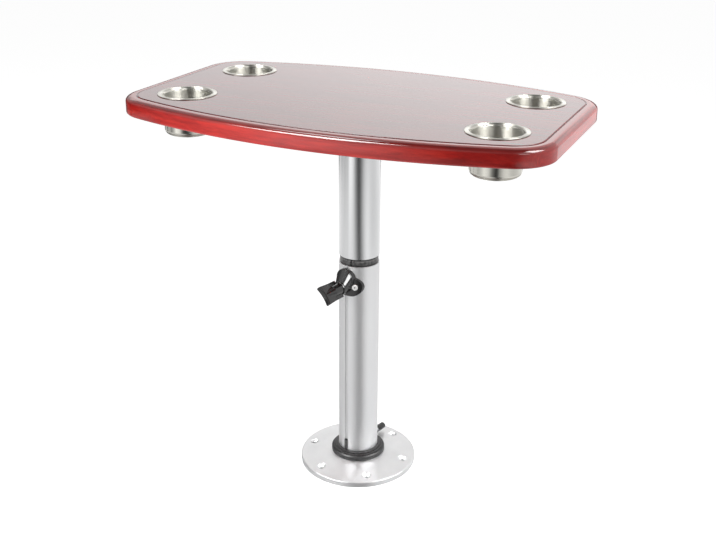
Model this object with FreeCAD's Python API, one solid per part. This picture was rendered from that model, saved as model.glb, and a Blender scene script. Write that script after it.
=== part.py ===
import FreeCAD, Part
import math
import os

# Height-adjustable table on one telescopic column, in millimetres.
# Origin at the underside of the base on the column's axis, +X along the table, +Z up.

os.makedirs("parts", exist_ok=True)

Vector = FreeCAD.Vector
ORIGIN = Vector(0, 0, 0)
EAST = Vector(1, 0, 0)
NORTH = Vector(0, 1, 0)
UP = Vector(0, 0, 1)

# Clearances, and the overrun of every through cut
running_clearance = 0.05
seat_clearance = 0.05
free_gap = 0.3
overrun = 2.0

# Table top
top_length = 617.0
top_middle_width = 394.0
top_end_width = 284.0
top_corner_radius = 60.0
top_slab_thickness = 23.5
top_field_height = 1.3
top_field_inset = 16.2
top_field_edge_radius = 0.6
top_upper_round = 5.8
top_lower_round = 3.0

# Cup holders
cup_end_inset = 81.7
cup_side_inset = 55.9
cup_flange_radius = 41.4
cup_flange_thickness = 1.4
cup_flange_round = 0.6
cup_body_radius = 33.8
cup_wall = 1.0
cup_depth = 56.0
cup_bottom_radius = 7.0
cup_throat_radius = 1.8
cup_hole_clearance = 1.0

# Column tubes
column_radius = 30.0
column_wall = 3.0
lower_tube_length = 326.2
upper_tube_length = 201.0
inner_tube_radius = 25.0
inner_tube_wall = 2.5
inner_tube_hold = 73.5
height_travel = 200.0

# Groove down the front of the lower tube
groove_angle = -103.0
groove_radius = 3.0
groove_depth = 1.6

# Base
base_radius = 89.0
base_rim_height = 8.3
base_hub_height = 15.0
base_rim_round = 1.6
base_socket_depth = 8.0
base_relief_depth = 2.0
base_relief_rim = 23.5
base_relief_hub_radius = 40.5
base_relief_hub_width = 9.0
base_hole_count = 6
base_hole_circle_radius = 74.0
base_hole_radius = 3.2
base_countersink_radius = 7.0
base_countersink_depth = 3.6
base_hole_angle = -55.0

# Spigot and its bolt
spigot_height = 39.5
spigot_chamfer = 2.0
spigot_bolt_radius = 5.0
spigot_bolt_head_radius = 9.5
spigot_bolt_head_height = 4.5
spigot_bolt_grip = 26.0
spigot_bolt_key_radius = 3.4
spigot_bolt_key_depth = 3.0

# Collar round the foot of the column
collar_radius = 41.0
collar_height = 11.3
collar_side_height = 5.4
collar_top_width = 1.2
collar_round = 1.6
collar_ring_count = 2
collar_ring_step = 0.9
tongue_height = 17.4
tongue_stand = 1.2
lock_boss_radius = 5.2
lock_boss_reach = 48.0
collar_screw_count = 3
collar_screw_radius = 1.8
collar_screw_head_radius = 3.6
collar_screw_head_height = 2.2
collar_screw_angle = 30.0
collar_screw_bite = 5.5

# Base lock
lock_angle = 80.0
lock_screw_radius = 3.0
lock_knob_start = 54.0
lock_knob_length = 17.0
lock_knob_radius = 5.0
lock_knob_neck_radius = 4.2
lock_knob_neck_length = 3.5
lock_knob_flute_count = 8
lock_knob_flute_radius = 1.3
lock_knob_flute_depth = 0.6
lock_knob_bore_depth = 11.0
lock_knob_round = 1.2

# Guide bush in the mouth of the lower tube
bush_flange_radius = 28.4
bush_flange_height = 11.5
bush_sleeve_length = 20.0
bush_slit_width = 1.8
bush_slit_angle = -90.0
bush_rib_radius = 0.9
bush_rib_inset = 3.0

# Clamp housing
clamp_drop = 30.0
saddle_thickness = 3.2
saddle_ear_radius = 15.0
saddle_ear_spacing = 18.0
crown_radius = 14.5
crown_rise = 12.0
crown_reach = 36.0
crown_round = 1.2
boss_radius = 10.5
boss_reach = 48.0
boss_round = 1.5
rivet_angle = 27.0
rivet_radius = 2.4
rivet_head_radius = 4.4
rivet_head_height = 1.8
rivet_recess_radius = 1.1
rivet_tail = 1.0

# Clamp plunger, pad and knob
plunger_radius = 4.0
plunger_end = 70.0
plunger_travel = 1.5
pad_radius = 6.0
pad_length = 7.0
pad_pocket_depth = 3.0
insert_radius = 6.5
insert_length = 12.0
knob_neck_radius = 8.9
knob_neck_length = 15.0
knob_tip = 84.5
knob_wing_width = 30.0
knob_web_width = 27.0
knob_wing_thickness = 8.0
knob_web_thickness = 5.0
knob_scoop_depth = 2.6
knob_wing_round = 1.8
knob_wing_angle = 41.3
knob_bore_margin = 3.5
knob_web_gap = 1.2

# Lower end of the inner tube
glide_flange_height = 6.0
glide_plug_length = 15.0
glide_pin_radius = 2.0
glide_pin_rise = 8.0
glide_bore_radius = 12.0

# Spacers between the inner and the outer upper tube
spacer_height = 20.0
spacer_inset = 2.5
spacer_drop = 6.0

# Plate under the table top
plate_radius = 80.0
plate_thickness = 6.0
plate_round = 2.0
socket_wall = 8.0
socket_depth = 34.0
socket_round = 1.5
rib_count = 6
rib_thickness = 5.0
rib_reach = 32.0
rib_height = 24.0
plate_screw_count = 6
plate_screw_circle_radius = 66.0
plate_screw_radius = 2.4
plate_screw_head_radius = 4.6
plate_screw_head_height = 2.6
plate_screw_bite = 17.0
plate_screw_round = 1.2
plate_screw_angle = 30.0
socket_screw_count = 3
socket_screw_radius = 3.0
socket_screw_rise = 12.0
socket_screw_stand = 1.5
socket_screw_key_radius = 1.5
socket_screw_key_depth = 2.5
socket_screw_angle = 90.0

# Levels, from the floor up
base_floor = base_hub_height - base_socket_depth
collar_top = base_hub_height + collar_height
lower_tube_top = base_floor + lower_tube_length
clamp_height = lower_tube_top - clamp_drop
bush_top = lower_tube_top + bush_flange_height
plate_underside = bush_top + upper_tube_length
slab_underside = plate_underside + plate_thickness
slab_top = slab_underside + top_slab_thickness
field_top = slab_top + top_field_height

# Length that reaches from the plate down to the hold left in the lower tube at full height
inner_tube_length = upper_tube_length + bush_flange_height + height_travel + inner_tube_hold

# Radii that follow from the tubes
lower_tube_bore = column_radius - column_wall
inner_tube_bore = inner_tube_radius - inner_tube_wall
pad_hole_radius = pad_radius + free_gap
pad_start = inner_tube_radius + free_gap
pad_pocket_end = pad_start + pad_length + plunger_travel + free_gap
plunger_bore = plunger_radius + running_clearance
knob_start = boss_reach + free_gap
insert_bore = plunger_radius + running_clearance


def rod(radius, length, start=ORIGIN, direction=UP):
    return Part.makeCylinder(radius, length, start, direction)


def ring(outer, inner, height, level):
    body = rod(outer, height, Vector(0, 0, level))
    hole = rod(inner, height + overrun * 2, Vector(0, 0, level - overrun))
    return body.cut(hole)


def revolved(points):
    """Turn an outline of (radius, level) points about the column's axis."""
    corners = [Vector(radius, 0, level) for radius, level in points]
    face = Part.Face(Part.makePolygon(corners + corners[:1]))
    return face.revolve(ORIGIN, UP, 360)


def turned(shape, angle):
    copy = shape.copy()
    copy.rotate(ORIGIN, UP, angle)
    return copy


def around(shape, count, first_angle):
    return [turned(shape, first_angle + 360 / count * index) for index in range(count)]


def round_edges(shape, radius, chosen):
    edges = [edge for edge in shape.Edges if chosen(edge)]
    return shape.makeFillet(radius, edges)


def edge_at_level(edge, level):
    box = edge.BoundBox
    return abs(box.ZMin - level) < running_clearance and abs(box.ZMax - level) < running_clearance


def edge_at_reach(edge, reach):
    box = edge.BoundBox
    return abs(box.XMin - reach) < running_clearance and abs(box.XMax - reach) < running_clearance


def save(node, shape):
    if isinstance(shape, list):
        shape = Part.makeCompound(shape)
    elif len(shape.Solids) == 1:
        shape = shape.Solids[0]
    shape.exportStep("parts/" + node + ".step")
    print(node, len(shape.Solids), round(shape.Volume), shape.isValid())


def top_outline(inset, level):
    """Straight ends, bowed long sides and round corners, drawn in by the inset."""
    half_length = top_length / 2
    bow = (top_middle_width - top_end_width) / 2
    bow_radius = (half_length ** 2 + bow ** 2) / (bow * 2)
    bow_centre = top_middle_width / 2 - bow_radius
    side_radius = bow_radius - inset
    corner = top_corner_radius - inset
    corner_x = half_length - top_corner_radius
    corner_rise = math.sqrt((side_radius - corner) ** 2 - corner_x ** 2)
    corner_y = bow_centre + corner_rise
    side_turn = math.atan2(corner_rise, corner_x)
    half_turn = side_turn / 2
    end_x = half_length - inset
    touch = Vector(side_radius * math.cos(side_turn), bow_centre + side_radius * math.sin(side_turn), level)
    crest = Vector(0, top_middle_width / 2 - inset, level)
    corner_middle = Vector(corner_x + corner * math.cos(half_turn), corner_y + corner * math.sin(half_turn), level)
    end_touch = Vector(end_x, corner_y, level)

    def across(point, side_x, side_y):
        return Vector(point.x * side_x, point.y * side_y, point.z)

    edges = [
        Part.Arc(touch, crest, across(touch, -1, 1)),
        Part.Arc(across(touch, -1, 1), across(corner_middle, -1, 1), across(end_touch, -1, 1)),
        Part.LineSegment(across(end_touch, -1, 1), across(end_touch, -1, -1)),
        Part.Arc(across(end_touch, -1, -1), across(corner_middle, -1, -1), across(touch, -1, -1)),
        Part.Arc(across(touch, -1, -1), across(crest, 1, -1), across(touch, 1, -1)),
        Part.Arc(across(touch, 1, -1), across(corner_middle, 1, -1), across(end_touch, 1, -1)),
        Part.LineSegment(across(end_touch, 1, -1), end_touch),
        Part.Arc(end_touch, corner_middle, touch),
    ]
    return Part.Face(Part.Wire([edge.toShape() for edge in edges]))


def cup_places():
    along = top_length / 2 - cup_end_inset
    across = top_end_width / 2 - cup_side_inset
    return {
        "front_left": Vector(-along, -across, 0),
        "front_right": Vector(along, -across, 0),
        "back_left": Vector(-along, across, 0),
        "back_right": Vector(along, across, 0),
    }


def make_table_top():
    slab = top_outline(0, slab_underside).extrude(UP * top_slab_thickness)
    slab = round_edges(slab, top_upper_round, lambda edge: edge_at_level(edge, slab_top))
    slab = round_edges(slab, top_lower_round, lambda edge: edge_at_level(edge, slab_underside))
    sunk = top_slab_thickness / 2
    field = top_outline(top_field_inset, slab_top - sunk).extrude(UP * (sunk + top_field_height))
    field = round_edges(field, top_field_edge_radius, lambda edge: edge_at_level(edge, field_top))
    top = slab.fuse(field).removeSplitter()
    cup_hole = rod(cup_body_radius + cup_hole_clearance, field_top - slab_underside + overrun * 2,
                   Vector(0, 0, slab_underside - overrun))
    for place in cup_places().values():
        top = top.cut(cup_hole.translated(place))
    pilot = rod(plate_screw_radius + seat_clearance, plate_screw_bite + seat_clearance + overrun,
                Vector(plate_screw_circle_radius, 0, slab_underside - overrun))
    for hole in around(pilot, plate_screw_count, plate_screw_angle):
        top = top.cut(hole)
    return top


def make_cup():
    """Spun steel cup: flat flange, rolled throat, straight wall and round bottom."""
    bottom = field_top - cup_depth
    outside = revolved([
        (0, bottom), (cup_body_radius, bottom), (cup_body_radius, field_top),
        (cup_flange_radius, field_top), (cup_flange_radius, field_top + cup_flange_thickness),
        (0, field_top + cup_flange_thickness),
    ])
    outside = round_edges(outside, cup_bottom_radius, lambda edge: edge_at_level(edge, bottom))
    flange_top = field_top + cup_flange_thickness
    outside = round_edges(outside, cup_flange_round, lambda edge: edge_at_level(edge, flange_top))
    inner_radius = cup_body_radius - cup_wall
    inner_bottom = bottom + cup_wall
    inside = rod(inner_radius, flange_top - inner_bottom + overrun, Vector(0, 0, inner_bottom))
    inside = round_edges(inside, cup_bottom_radius - cup_wall, lambda edge: edge_at_level(edge, inner_bottom))
    cup = outside.cut(inside)
    return round_edges(cup, cup_throat_radius, lambda edge: edge_at_level(edge, flange_top)
                       and abs(edge.BoundBox.XMax - inner_radius) < running_clearance)


def make_lower_tube():
    tube = ring(column_radius, lower_tube_bore, lower_tube_length, base_floor)
    tube = tube.cut(groove_cutter(groove_radius, base_floor - overrun, lower_tube_length + overrun * 2))
    clamp_hole = rod(pad_hole_radius, column_radius + overrun, Vector(0, 0, clamp_height), EAST)
    tube = tube.cut(turned(clamp_hole, groove_angle))
    for side in (-1, 1):
        hole = rod(rivet_radius + seat_clearance, column_radius + overrun, Vector(0, 0, clamp_height), EAST)
        tube = tube.cut(turned(hole, groove_angle + rivet_angle * side))
    return tube


def groove_cutter(radius, level, height):
    centre = column_radius + groove_radius - groove_depth
    return turned(rod(radius, height, Vector(centre, 0, level)), groove_angle)


def make_upper_tube():
    return ring(column_radius, lower_tube_bore, upper_tube_length, bush_top)


def make_inner_tube():
    start = plate_underside - inner_tube_length
    tube = ring(inner_tube_radius, inner_tube_bore, inner_tube_length, start)
    pin_hole = rod(glide_pin_radius + seat_clearance, inner_tube_radius * 2 + overrun * 2,
                   Vector(-inner_tube_radius - overrun, 0, start + glide_pin_rise), EAST)
    return tube.cut(pin_hole)


def make_end_glide():
    start = plate_underside - inner_tube_length
    glide = rod(lower_tube_bore - running_clearance, glide_flange_height, Vector(0, 0, start - glide_flange_height))
    plug = rod(inner_tube_bore - seat_clearance, glide_plug_length + glide_flange_height,
               Vector(0, 0, start - glide_flange_height))
    glide = glide.fuse(plug)
    bore = rod(glide_bore_radius, glide_plug_length + glide_flange_height + overrun * 2,
               Vector(0, 0, start - glide_flange_height - overrun))
    pin_hole = rod(glide_pin_radius + seat_clearance, inner_tube_radius * 2,
                   Vector(-inner_tube_radius, 0, start + glide_pin_rise), EAST)
    return glide.cut(bore).cut(pin_hole).removeSplitter()


def make_glide_pin():
    start = plate_underside - inner_tube_length
    length = (inner_tube_radius - seat_clearance) * 2
    return rod(glide_pin_radius, length, Vector(-length / 2, 0, start + glide_pin_rise), EAST)


def make_spacer(level):
    return ring(lower_tube_bore - seat_clearance, inner_tube_radius + seat_clearance, spacer_height, level)


def make_base_plate():
    relief_outer = base_radius - base_relief_rim
    plate = revolved([
        (0, base_relief_depth), (base_relief_hub_radius, base_relief_depth), (base_relief_hub_radius, 0),
        (base_relief_hub_radius + base_relief_hub_width, 0),
        (base_relief_hub_radius + base_relief_hub_width, base_relief_depth),
        (relief_outer, base_relief_depth), (relief_outer, 0), (base_radius, 0),
        (base_radius, base_rim_height), (collar_radius, base_hub_height), (0, base_hub_height),
    ])
    plate = round_edges(plate, base_rim_round, lambda edge: edge_at_level(edge, base_rim_height))
    socket = rod(column_radius + free_gap, base_socket_depth + overrun, Vector(0, 0, base_floor))
    plate = plate.cut(socket)
    surface = base_surface(base_hole_circle_radius)
    hole = rod(base_hole_radius, surface + overrun * 2, Vector(base_hole_circle_radius, 0, -overrun))
    sink = Part.makeCone(base_hole_radius, base_countersink_radius + overrun, base_countersink_depth + overrun,
                         Vector(base_hole_circle_radius, 0, surface - base_countersink_depth))
    for cutter in around(hole.fuse(sink), base_hole_count, base_hole_angle):
        plate = plate.cut(cutter)
    plate = plate.cut(spigot_bolt_shape(seat_clearance))
    for cutter in around(collar_screw_shape(seat_clearance), collar_screw_count, collar_screw_angle):
        plate = plate.cut(cutter)
    return plate


def base_surface(radius):
    """Level of the cone's top at a radius."""
    slope = (base_hub_height - base_rim_height) / (base_radius - collar_radius)
    return base_rim_height + slope * (base_radius - radius)


def spigot_bolt_shape(clearance):
    """Countersunk bolt from the relief under the base up into the spigot."""
    head = Part.makeCone(spigot_bolt_head_radius + clearance, spigot_bolt_radius + clearance,
                         spigot_bolt_head_height, Vector(0, 0, base_relief_depth))
    shank = rod(spigot_bolt_radius + clearance, spigot_bolt_grip + clearance, Vector(0, 0, base_relief_depth))
    return head.fuse(shank)


def make_spigot():
    spigot = rod(lower_tube_bore - running_clearance, spigot_height, Vector(0, 0, base_floor))
    top = base_floor + spigot_height
    spigot = spigot.makeChamfer(spigot_chamfer, [edge for edge in spigot.Edges if edge_at_level(edge, top)])
    return spigot.cut(spigot_bolt_shape(seat_clearance))


def make_spigot_bolt():
    key = rod(spigot_bolt_key_radius, spigot_bolt_key_depth + overrun,
              Vector(0, 0, base_relief_depth - overrun))
    return spigot_bolt_shape(0).cut(key).removeSplitter()


def collar_screw_shape(clearance):
    """Countersunk screw from the relief under the base up into the collar."""
    place = Vector((column_radius + collar_radius) / 2, 0, base_relief_depth)
    head = Part.makeCone(collar_screw_head_radius + clearance, collar_screw_radius + clearance,
                         collar_screw_head_height, place)
    length = base_hub_height - base_relief_depth + collar_screw_bite
    return head.fuse(rod(collar_screw_radius + clearance, length + clearance, place))


def make_collar_screws():
    slot = Part.makeBox(collar_screw_head_radius * 3, collar_screw_radius / 2, collar_screw_head_height / 2)
    slot.translate(Vector((column_radius + collar_radius) / 2 - collar_screw_head_radius * 1.5,
                          -collar_screw_radius / 4, base_relief_depth))
    screw = collar_screw_shape(0).cut(slot).removeSplitter()
    return around(screw, collar_screw_count, collar_screw_angle)


def lock_level():
    return base_hub_height + collar_height / 2


def make_base_collar():
    inner = column_radius + free_gap
    shoulder = base_hub_height + collar_side_height
    slope_end = inner + collar_top_width
    profile = [(inner, base_hub_height), (collar_radius, base_hub_height), (collar_radius, shoulder)]
    for index in range(collar_ring_count):
        part = (index + 1) / (collar_ring_count + 1)
        radius = collar_radius + (slope_end - collar_radius) * part
        level = shoulder + (collar_top - shoulder) * part
        profile += [(radius + collar_ring_step, level), (radius, level - collar_ring_step / 2),
                    (radius, level + collar_ring_step)]
    collar = revolved(profile + [(slope_end, collar_top), (inner, collar_top)])
    collar = round_edges(collar, collar_round, lambda edge: edge_at_level(edge, shoulder))
    wall = collar_radius - column_radius
    boss = rod(lock_boss_radius, lock_boss_reach - collar_radius + wall / 2,
               Vector(collar_radius - wall / 2, 0, lock_level()), EAST)
    collar = collar.fuse(turned(boss, lock_angle))
    tongue = groove_cutter(groove_radius - free_gap, base_hub_height, collar_height + tongue_height)
    tongue = tongue.common(rod(column_radius + tongue_stand, collar_top + tongue_height))
    collar = collar.fuse(tongue)
    lock_hole = rod(lock_screw_radius + running_clearance, lock_boss_reach + overrun,
                    Vector(0, 0, lock_level()), EAST)
    collar = collar.cut(turned(lock_hole, lock_angle))
    for cutter in around(collar_screw_shape(seat_clearance), collar_screw_count, collar_screw_angle):
        collar = collar.cut(cutter)
    return collar.removeSplitter()


def make_lock_screw():
    start = column_radius + free_gap
    length = lock_knob_start + lock_knob_bore_depth - seat_clearance - start
    return turned(rod(lock_screw_radius, length, Vector(start, 0, lock_level()), EAST), lock_angle)


def make_lock_knob():
    start = Vector(lock_knob_start, 0, lock_level())
    neck = rod(lock_knob_neck_radius, lock_knob_neck_length + overrun, start, EAST)
    head_length = lock_knob_length - lock_knob_neck_length
    head_start = start + EAST * lock_knob_neck_length
    head = rod(lock_knob_radius, head_length, head_start, EAST)
    head = head.makeFillet(lock_knob_round, [edge for edge in head.Edges if edge.Closed])
    flute_reach = lock_knob_radius + lock_knob_flute_radius - lock_knob_flute_depth
    for index in range(lock_knob_flute_count):
        turn = math.radians(360 / lock_knob_flute_count * index)
        offset = Vector(0, flute_reach * math.cos(turn), flute_reach * math.sin(turn))
        flute = rod(lock_knob_flute_radius, head_length + overrun * 2, head_start - EAST * overrun + offset, EAST)
        head = head.cut(flute)
    bore = rod(lock_screw_radius + seat_clearance, lock_knob_bore_depth + overrun, start - EAST * overrun, EAST)
    return turned(neck.fuse(head).cut(bore).removeSplitter(), lock_angle)


def make_guide_bush():
    """Split ring that carries the upper tube, with a sleeve down the lower tube's mouth."""
    bore = inner_tube_radius + running_clearance
    flange = ring(bush_flange_radius, bore, bush_flange_height, lower_tube_top)
    sleeve = ring(lower_tube_bore - running_clearance, bore, bush_sleeve_length + bush_flange_height,
                  lower_tube_top - bush_sleeve_length)
    bush = flange.fuse(sleeve).removeSplitter()
    slit_height = bush_sleeve_length + bush_flange_height + overrun * 2
    slit = Part.makeBox(bush_flange_radius, bush_slit_width, slit_height)
    slit.translate(Vector(inner_tube_radius / 2, -bush_slit_width / 2, lower_tube_top - bush_sleeve_length - overrun))
    bush = bush.cut(turned(slit, bush_slit_angle))
    groove_level = lower_tube_top + bush_flange_height - bush_rib_inset
    bead = Part.makeTorus(bush_flange_radius + bush_rib_radius / 2, bush_rib_radius, Vector(0, 0, groove_level))
    return bush.cut(bead)


def clamp_place(shape):
    """Carry a shape built along +X at the origin to the clamp's place on the tube."""
    moved = shape.translated(Vector(0, 0, clamp_height))
    return turned(moved, groove_angle)


def make_clamp_housing():
    ear_reach = column_radius + saddle_thickness
    left = rod(saddle_ear_radius, ear_reach, Vector(0, -saddle_ear_spacing / 2, 0), EAST)
    right = rod(saddle_ear_radius, ear_reach, Vector(0, saddle_ear_spacing / 2, 0), EAST)
    middle = Part.makeBox(ear_reach, saddle_ear_spacing, saddle_ear_radius * 2)
    middle.translate(Vector(0, -saddle_ear_spacing / 2, -saddle_ear_radius))
    pad = left.fuse(right).fuse(middle)
    shell = rod(ear_reach, clamp_height)
    shell.translate(Vector(0, 0, -clamp_height / 2))
    housing = pad.common(shell)
    crown = rod(crown_radius, crown_reach, Vector(0, 0, crown_rise), EAST)
    crown = round_edges(crown, crown_round, lambda edge: edge_at_reach(edge, crown_reach))
    wide_end = Part.makeCircle(crown_radius - crown_round, Vector(crown_reach, 0, crown_rise), EAST)
    narrow_end = Part.makeCircle(boss_radius - boss_round, Vector(boss_reach - boss_round, 0, 0), EAST)
    slope = Part.makeLoft([Part.Wire(wide_end), Part.Wire(narrow_end)], True, True)
    boss = rod(boss_radius, boss_reach, ORIGIN, EAST)
    boss = round_edges(boss, boss_round, lambda edge: edge_at_reach(edge, boss_reach))
    housing = housing.fuse(crown).fuse(slope).fuse(boss).removeSplitter()
    tube_space = rod(column_radius, clamp_height)
    tube_space.translate(Vector(0, 0, -clamp_height / 2))
    housing = housing.cut(tube_space)
    housing = housing.cut(rod(plunger_bore, boss_reach + overrun, ORIGIN, EAST))
    housing = housing.cut(rod(pad_hole_radius, pad_pocket_end, ORIGIN, EAST))
    for side in (-1, 1):
        hole = rod(rivet_radius + seat_clearance, crown_reach, ORIGIN, EAST)
        seat = rod(rivet_head_radius + seat_clearance, crown_reach, EAST * ear_reach, EAST)
        for cutter in (hole, seat):
            housing = housing.cut(turned(cutter, rivet_angle * side))
    return clamp_place(housing.removeSplitter())


def make_clamp_rivets():
    start = lower_tube_bore - rivet_tail
    face = column_radius + saddle_thickness
    shank = rod(rivet_radius, face - start + rivet_head_height / 2, EAST * start, EAST)
    head = rod(rivet_head_radius, rivet_head_height, EAST * face, EAST)
    head = round_edges(head, rivet_head_height / 2, lambda edge: edge_at_reach(edge, face + rivet_head_height))
    recess = rod(rivet_recess_radius, rivet_head_height + overrun, EAST * (face + rivet_head_height / 2), EAST)
    rivet = shank.fuse(head).cut(recess).removeSplitter()
    return [clamp_place(turned(rivet, rivet_angle * side)) for side in (-1, 1)]


def make_pressure_pad():
    pad = rod(pad_radius, pad_start + pad_length, ORIGIN, EAST)
    inner_tube_space = rod(pad_start, clamp_height)
    inner_tube_space.translate(Vector(0, 0, -clamp_height / 2))
    pad = pad.cut(inner_tube_space)
    pocket_start = pad_start + pad_length - pad_pocket_depth
    pocket = rod(plunger_radius + seat_clearance, pad_pocket_depth + overrun, Vector(pocket_start, 0, 0), EAST)
    return clamp_place(pad.cut(pocket))


def make_clamp_plunger():
    start = pad_start + pad_length - pad_pocket_depth
    return clamp_place(rod(plunger_radius, plunger_end - start, Vector(start, 0, 0), EAST))


def make_knob_insert():
    insert = rod(insert_radius - seat_clearance, insert_length, Vector(knob_start, 0, 0), EAST)
    bore = rod(insert_bore, insert_length + overrun * 2, Vector(knob_start - overrun, 0, 0), EAST)
    return clamp_place(insert.cut(bore))


def wing_outline(root, root_width, tip, tip_width, scoop):
    """Flat outline in the X and Z plane, with a hollow end."""
    corners = [Vector(root, 0, -root_width / 2), Vector(tip, 0, -tip_width / 2), Vector(tip, 0, tip_width / 2),
               Vector(root, 0, root_width / 2)]
    edges = [Part.LineSegment(corners[0], corners[1]).toShape(),
             Part.Arc(corners[1], Vector(tip - scoop, 0, 0), corners[2]).toShape(),
             Part.LineSegment(corners[2], corners[3]).toShape(),
             Part.LineSegment(corners[3], corners[0]).toShape()]
    return Part.Face(Part.Wire(edges))


def slab_about_plane(face, thickness):
    slab = face.extrude(NORTH * thickness)
    return slab.translated(NORTH * (-thickness / 2))


def make_clamp_knob():
    neck_end = knob_start + knob_neck_length
    neck = rod(knob_neck_radius, knob_neck_length, Vector(knob_start, 0, 0), EAST)
    core = Part.makeCone(knob_neck_radius, knob_wing_thickness / 2, knob_tip - neck_end - knob_scoop_depth * 2,
                         Vector(neck_end, 0, 0), EAST)
    wing = wing_outline(neck_end, knob_web_width, knob_tip, knob_wing_width, knob_scoop_depth)
    wing = slab_about_plane(wing, knob_wing_thickness)
    wing = wing.makeFillet(knob_wing_round, wing.Edges)
    web_root = knob_start + knob_web_gap
    web = wing_outline(web_root, knob_web_width, neck_end + knob_wing_round * 2, knob_web_width, running_clearance)
    web = slab_about_plane(web, knob_web_thickness)
    knob = neck.fuse(core).fuse(wing).fuse(web)
    bore_end = plunger_end + plunger_travel + knob_bore_margin
    knob = knob.cut(rod(plunger_radius + free_gap, bore_end - knob_start + overrun,
                        Vector(knob_start - overrun, 0, 0), EAST))
    knob = knob.cut(rod(insert_radius, insert_length + overrun, Vector(knob_start - overrun, 0, 0), EAST))
    knob.rotate(ORIGIN, EAST, knob_wing_angle)
    return clamp_place(knob.removeSplitter())


def make_top_plate():
    socket_radius = column_radius + socket_wall
    plate = rod(plate_radius, plate_thickness, Vector(0, 0, plate_underside))
    plate = round_edges(plate, plate_round, lambda edge: edge_at_level(edge, plate_underside))
    socket_bottom = plate_underside - socket_depth
    socket = rod(socket_radius, socket_depth + plate_thickness / 2, Vector(0, 0, socket_bottom))
    socket = round_edges(socket, socket_round, lambda edge: edge_at_level(edge, socket_bottom))
    plate = plate.fuse(socket)
    inside = socket_radius - socket_wall / 2
    rib_corners = [Vector(inside, 0, plate_underside + plate_thickness / 2),
                   Vector(socket_radius + rib_reach, 0, plate_underside + plate_thickness / 2),
                   Vector(socket_radius + rib_reach, 0, plate_underside),
                   Vector(socket_radius, 0, plate_underside - rib_height),
                   Vector(inside, 0, plate_underside - rib_height)]
    rib = Part.Face(Part.makePolygon(rib_corners + rib_corners[:1])).extrude(NORTH * rib_thickness)
    rib.translate(NORTH * (-rib_thickness / 2))
    for copy in around(rib, rib_count, 0):
        plate = plate.fuse(copy)
    bore = rod(column_radius + seat_clearance, socket_depth + overrun,
               Vector(0, 0, socket_bottom - overrun))
    plate = plate.cut(bore)
    hole = rod(plate_screw_radius + seat_clearance, plate_thickness + overrun * 2,
               Vector(plate_screw_circle_radius, 0, plate_underside - overrun))
    for cutter in around(hole, plate_screw_count, plate_screw_angle):
        plate = plate.cut(cutter)
    set_hole = rod(socket_screw_radius + seat_clearance, socket_radius + overrun,
                   Vector(0, 0, socket_bottom + socket_screw_rise), EAST)
    for cutter in around(set_hole, socket_screw_count, socket_screw_angle):
        plate = plate.cut(cutter)
    return plate.removeSplitter()


def make_plate_screws():
    head_level = plate_underside - plate_screw_head_height
    head = rod(plate_screw_head_radius, plate_screw_head_height, Vector(plate_screw_circle_radius, 0, head_level))
    head = round_edges(head, plate_screw_round, lambda edge: edge_at_level(edge, head_level))
    shank = rod(plate_screw_radius, plate_thickness + plate_screw_bite,
                Vector(plate_screw_circle_radius, 0, plate_underside))
    recess = rod(plate_screw_radius / 2, plate_screw_head_height / 2 + overrun,
                 Vector(plate_screw_circle_radius, 0, head_level - overrun))
    screw = head.fuse(shank).cut(recess).removeSplitter()
    return around(screw, plate_screw_count, plate_screw_angle)


def make_socket_screws():
    level = plate_underside - socket_depth + socket_screw_rise
    start = column_radius + seat_clearance
    length = socket_wall + socket_screw_stand
    screw = rod(socket_screw_radius, length, Vector(start, 0, level), EAST)
    key = rod(socket_screw_key_radius, socket_screw_key_depth + overrun,
              Vector(start + length - socket_screw_key_depth, 0, level), EAST)
    return around(screw.cut(key), socket_screw_count, socket_screw_angle)


save("base_plate", make_base_plate())
save("base_spigot", make_spigot())
save("spigot_bolt", make_spigot_bolt())
save("base_collar", make_base_collar())
save("collar_screws", make_collar_screws())
save("lock_screw", make_lock_screw())
save("lock_knob", make_lock_knob())
save("lower_tube", make_lower_tube())
save("clamp_housing", make_clamp_housing())
save("clamp_rivets", make_clamp_rivets())
save("guide_bush", make_guide_bush())
save("clamp_knob", make_clamp_knob())
save("knob_insert", make_knob_insert())
save("clamp_plunger", make_clamp_plunger())
save("pressure_pad", make_pressure_pad())
save("inner_tube", make_inner_tube())
save("end_glide", make_end_glide())
save("glide_pin", make_glide_pin())
save("lower_spacer", make_spacer(bush_top + spacer_inset))
save("upper_spacer", make_spacer(plate_underside - spacer_drop - spacer_height))
save("upper_tube", make_upper_tube())
save("top_plate", make_top_plate())
save("socket_screws", make_socket_screws())
save("plate_screws", make_plate_screws())
save("table_top", make_table_top())
for corner, place in cup_places().items():
    save("cup_holder_" + corner, make_cup().translated(place))
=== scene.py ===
import bpy
import bmesh
import math
from mathutils import Matrix, Vector


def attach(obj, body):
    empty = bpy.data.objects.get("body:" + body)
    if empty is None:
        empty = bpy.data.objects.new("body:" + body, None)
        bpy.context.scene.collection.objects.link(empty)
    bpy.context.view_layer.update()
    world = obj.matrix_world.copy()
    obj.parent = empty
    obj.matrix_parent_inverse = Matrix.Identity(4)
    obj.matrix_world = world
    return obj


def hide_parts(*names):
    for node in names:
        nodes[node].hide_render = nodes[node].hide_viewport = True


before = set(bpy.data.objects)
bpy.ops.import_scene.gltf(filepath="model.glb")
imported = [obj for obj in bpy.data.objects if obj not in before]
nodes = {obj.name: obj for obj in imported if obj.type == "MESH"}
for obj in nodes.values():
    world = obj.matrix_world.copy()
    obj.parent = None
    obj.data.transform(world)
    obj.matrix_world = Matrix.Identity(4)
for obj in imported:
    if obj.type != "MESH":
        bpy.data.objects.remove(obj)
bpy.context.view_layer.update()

# Camera. It stands to the right of the table's front, a little above the top.
# Its place, turn and lens come from matching the table's outline in the photograph.
camera_place = Vector((0.605021, -1.319404, 0.922879))
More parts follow.
